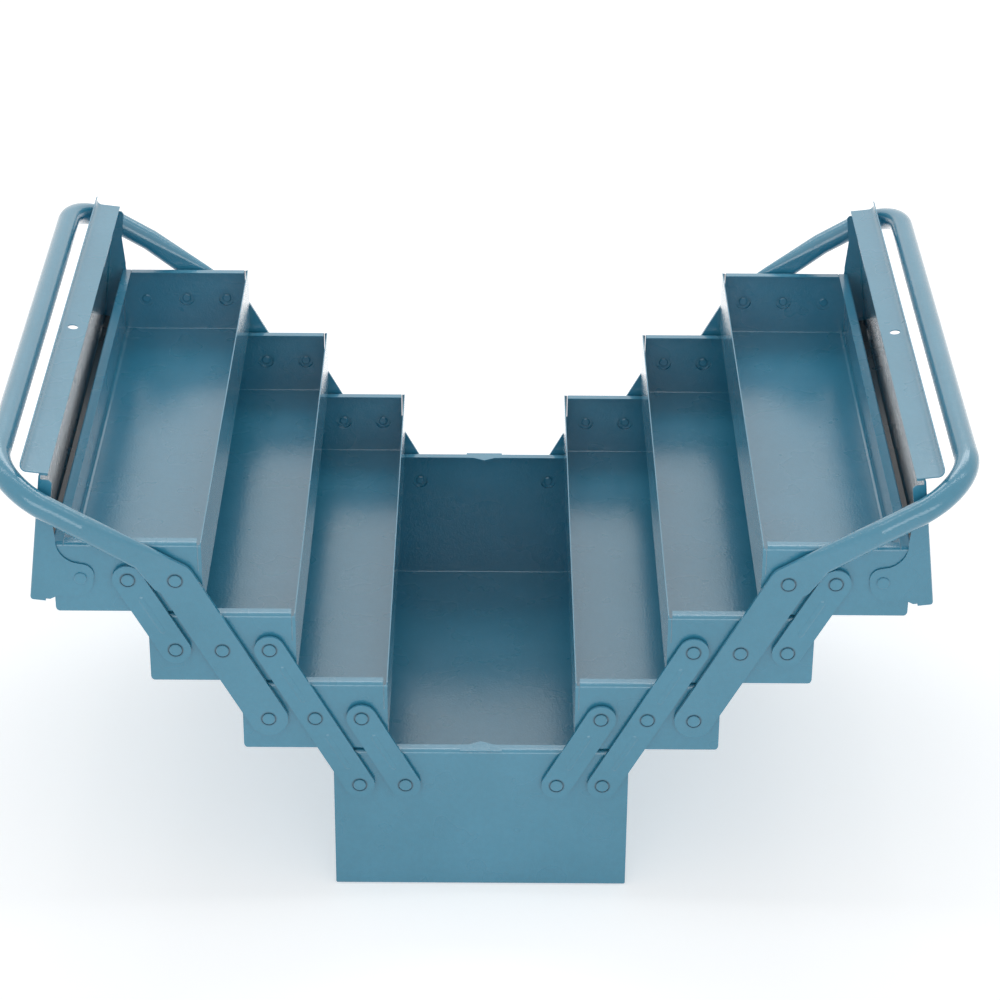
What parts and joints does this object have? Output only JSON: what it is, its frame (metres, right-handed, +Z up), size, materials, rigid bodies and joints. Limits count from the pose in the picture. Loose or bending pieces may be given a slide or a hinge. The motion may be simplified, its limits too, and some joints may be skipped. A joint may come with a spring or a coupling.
{
  "type": "cantilever tool box",
  "caption": "Cantilever tool box, shown open: a long sheet-steel base with stepped trays that fold out on riveted links, hinged lids and tube carrying handles.",
  "frame": {"origin": "middle of the underside of the base", "axes": "+X across the box to the right-hand trays, +Y along the box to its rear end, +Z up"},
  "size_m": [0.7118, 0.5142, 0.3633],
  "materials": {
    "base": "gloss",
    "trays": "gloss",
    "lids": "gloss",
    "links": "gloss",
    "rivets": "gloss",
    "handles": "gloss"
  },
  "bodies": {
    "base": {"base_box": "base", "base_rivets": "rivets"},
    "long_link_front_left": {"long_link_front_left": "links"},
    "long_link_rear_left": {"long_link_rear_left": "links"},
    "lower_link_front_left": {"lower_link_front_left": "links"},
    "lower_link_rear_left": {"lower_link_rear_left": "links"},
    "upper_link_front_left": {"upper_link_front_left": "links"},
    "upper_link_rear_left": {"upper_link_rear_left": "links"},
    "tray_lower_left": {"tray_lower_left": "trays", "tray_lower_left_rivets": "rivets"},
    "tray_middle_left": {"tray_middle_left": "trays", "tray_middle_left_rivets": "rivets"},
    "tray_upper_left": {"tray_upper_left": "trays", "tray_upper_left_rivets": "rivets"},
    "handle_left": {"handle_left": "handles"},
    "lid_left": {"lid_left": "lids", "lid_ridge_left": "lids"},
    "long_link_front_right": {"long_link_front_right": "links"},
    "long_link_rear_right": {"long_link_rear_right": "links"},
    "lower_link_front_right": {"lower_link_front_right": "links"},
    "lower_link_rear_right": {"lower_link_rear_right": "links"},
    "upper_link_front_right": {"upper_link_front_right": "links"},
    "upper_link_rear_right": {"upper_link_rear_right": "links"},
    "tray_lower_right": {"tray_lower_right": "trays", "tray_lower_right_rivets": "rivets"},
    "tray_middle_right": {"tray_middle_right": "trays", "tray_middle_right_rivets": "rivets"},
    "tray_upper_right": {"tray_upper_right": "trays", "tray_upper_right_rivets": "rivets"},
    "handle_right": {"handle_right": "handles"},
    "lid_right": {"lid_right": "lids", "lid_ridge_right": "lids"}
  },
  "joints": [
    {"name": "left_swing", "type": "hinge", "parent": "base", "child": "long_link_front_left", "pos_m": [-0.0906, 0, 0.093], "axis": [0, 1, 0], "range_deg": [0, 59.39]},
    {"name": "left_long_rear_pivot", "type": "hinge", "parent": "base", "child": "long_link_rear_left", "pos_m": [-0.0906, 0, 0.093], "axis": [0, 1, 0], "range_deg": [0, 59.44]},
    {"name": "left_lower_front_pivot", "type": "hinge", "parent": "base", "child": "lower_link_front_left", "pos_m": [-0.0564, 0, 0.093], "axis": [0, 1, 0], "range_deg": [0, 59.44]},
    {"name": "left_lower_rear_pivot", "type": "hinge", "parent": "base", "child": "lower_link_rear_left", "pos_m": [-0.0564, 0, 0.093], "axis": [0, 1, 0], "range_deg": [0, 59.44]},
    {"name": "left_lower_tray_pivot", "type": "hinge", "parent": "long_link_front_left", "child": "tray_lower_left", "pos_m": [-0.12258, 0, 0.15166], "axis": [0, 1, 0], "range_deg": [-59.44, 0]},
    {"name": "left_middle_tray_pivot", "type": "hinge", "parent": "long_link_front_left", "child": "tray_middle_left", "pos_m": [-0.15457, 0, 0.21033], "axis": [0, 1, 0], "range_deg": [-59.44, 0]},
    {"name": "left_handle_pivot", "type": "hinge", "parent": "tray_lower_left", "child": "handle_left", "pos_m": [-0.15678, 0, 0.15166], "axis": [0, 1, 0], "range_deg": [0, 59.44]},
    {"name": "left_upper_tray_pivot", "type": "hinge", "parent": "handle_left", "child": "tray_upper_left", "pos_m": [-0.22075, 0, 0.26899], "axis": [0, 1, 0], "range_deg": [-59.44, 0]},
    {"name": "left_upper_front_pivot", "type": "hinge", "parent": "tray_middle_left", "child": "upper_link_front_left", "pos_m": [-0.22297, 0, 0.21033], "axis": [0, 1, 0], "range_deg": [0, 59.44]},
    {"name": "left_upper_rear_pivot", "type": "hinge", "parent": "tray_middle_left", "child": "upper_link_rear_left", "pos_m": [-0.22297, 0, 0.21033], "axis": [0, 1, 0], "range_deg": [0, 59.44]},
    {"name": "left_lid_hinge", "type": "hinge", "parent": "tray_upper_left", "child": "lid_left", "pos_m": [-0.28915, 0, 0.26899], "axis": [0, 1, 0], "range_deg": [0, 83.05]},
    {"name": "right_swing", "type": "hinge", "parent": "base", "child": "long_link_front_right", "pos_m": [0.0906, 0, 0.093], "axis": [0, -1, 0], "range_deg": [0, 59.39]},
    {"name": "right_long_rear_pivot", "type": "hinge", "parent": "base", "child": "long_link_rear_right", "pos_m": [0.0906, 0, 0.093], "axis": [0, -1, 0], "range_deg": [0, 59.44]},
    {"name": "right_lower_front_pivot", "type": "hinge", "parent": "base", "child": "lower_link_front_right", "pos_m": [0.0564, 0, 0.093], "axis": [0, -1, 0], "range_deg": [0, 59.44]},
    {"name": "right_lower_rear_pivot", "type": "hinge", "parent": "base", "child": "lower_link_rear_right", "pos_m": [0.0564, 0, 0.093], "axis": [0, -1, 0], "range_deg": [0, 59.44]},
    {"name": "right_lower_tray_pivot", "type": "hinge", "parent": "long_link_front_right", "child": "tray_lower_right", "pos_m": [0.12258, 0, 0.15166], "axis": [0, -1, 0], "range_deg": [-59.44, 0]},
    {"name": "right_middle_tray_pivot", "type": "hinge", "parent": "long_link_front_right", "child": "tray_middle_right", "pos_m": [0.15457, 0, 0.21033], "axis": [0, -1, 0], "range_deg": [-59.44, 0]},
    {"name": "right_handle_pivot", "type": "hinge", "parent": "tray_lower_right", "child": "handle_right", "pos_m": [0.15678, 0, 0.15166], "axis": [0, -1, 0], "range_deg": [0, 59.44]},
    {"name": "right_upper_tray_pivot", "type": "hinge", "parent": "handle_right", "child": "tray_upper_right", "pos_m": [0.22075, 0, 0.26899], "axis": [0, -1, 0], "range_deg": [-59.44, 0]},
    {"name": "right_upper_front_pivot", "type": "hinge", "parent": "tray_middle_right", "child": "upper_link_front_right", "pos_m": [0.22297, 0, 0.21033], "axis": [0, -1, 0], "range_deg": [0, 59.44]},
    {"name": "right_upper_rear_pivot", "type": "hinge", "parent": "tray_middle_right", "child": "upper_link_rear_right", "pos_m": [0.22297, 0, 0.21033], "axis": [0, -1, 0], "range_deg": [0, 59.44]},
    {"name": "right_lid_hinge", "type": "hinge", "parent": "tray_upper_right", "child": "lid_right", "pos_m": [0.28915, 0, 0.26899], "axis": [0, -1, 0], "range_deg": [0, 83.05]}
  ],
  "couplings": [
    {"joint": "left_long_rear_pivot", "follows": "left_swing", "ratio": 1},
    {"joint": "left_lower_front_pivot", "follows": "left_swing", "ratio": 1},
    {"joint": "left_lower_rear_pivot", "follows": "left_swing", "ratio": 1},
    {"joint": "left_lower_tray_pivot", "follows": "left_swing", "ratio": -1},
    {"joint": "left_middle_tray_pivot", "follows": "left_swing", "ratio": -1},
    {"joint": "left_handle_pivot", "follows": "left_swing", "ratio": 1},
    {"joint": "left_upper_tray_pivot", "follows": "left_swing", "ratio": -1},
    {"joint": "left_upper_front_pivot", "follows": "left_swing", "ratio": 1},
    {"joint": "left_upper_rear_pivot", "follows": "left_swing", "ratio": 1},
    {"joint": "left_lid_hinge", "follows": "left_swing", "ratio": 1.3976},
    {"joint": "right_long_rear_pivot", "follows": "right_swing", "ratio": 1},
    {"joint": "right_lower_front_pivot", "follows": "right_swing", "ratio": 1},
    {"joint": "right_lower_rear_pivot", "follows": "right_swing", "ratio": 1},
    {"joint": "right_lower_tray_pivot", "follows": "right_swing", "ratio": -1},
    {"joint": "right_middle_tray_pivot", "follows": "right_swing", "ratio": -1},
    {"joint": "right_handle_pivot", "follows": "right_swing", "ratio": 1},
    {"joint": "right_upper_tray_pivot", "follows": "right_swing", "ratio": -1},
    {"joint": "right_upper_front_pivot", "follows": "right_swing", "ratio": 1},
    {"joint": "right_upper_rear_pivot", "follows": "right_swing", "ratio": 1},
    {"joint": "right_lid_hinge", "follows": "right_swing", "ratio": 1.3976}
  ]
}
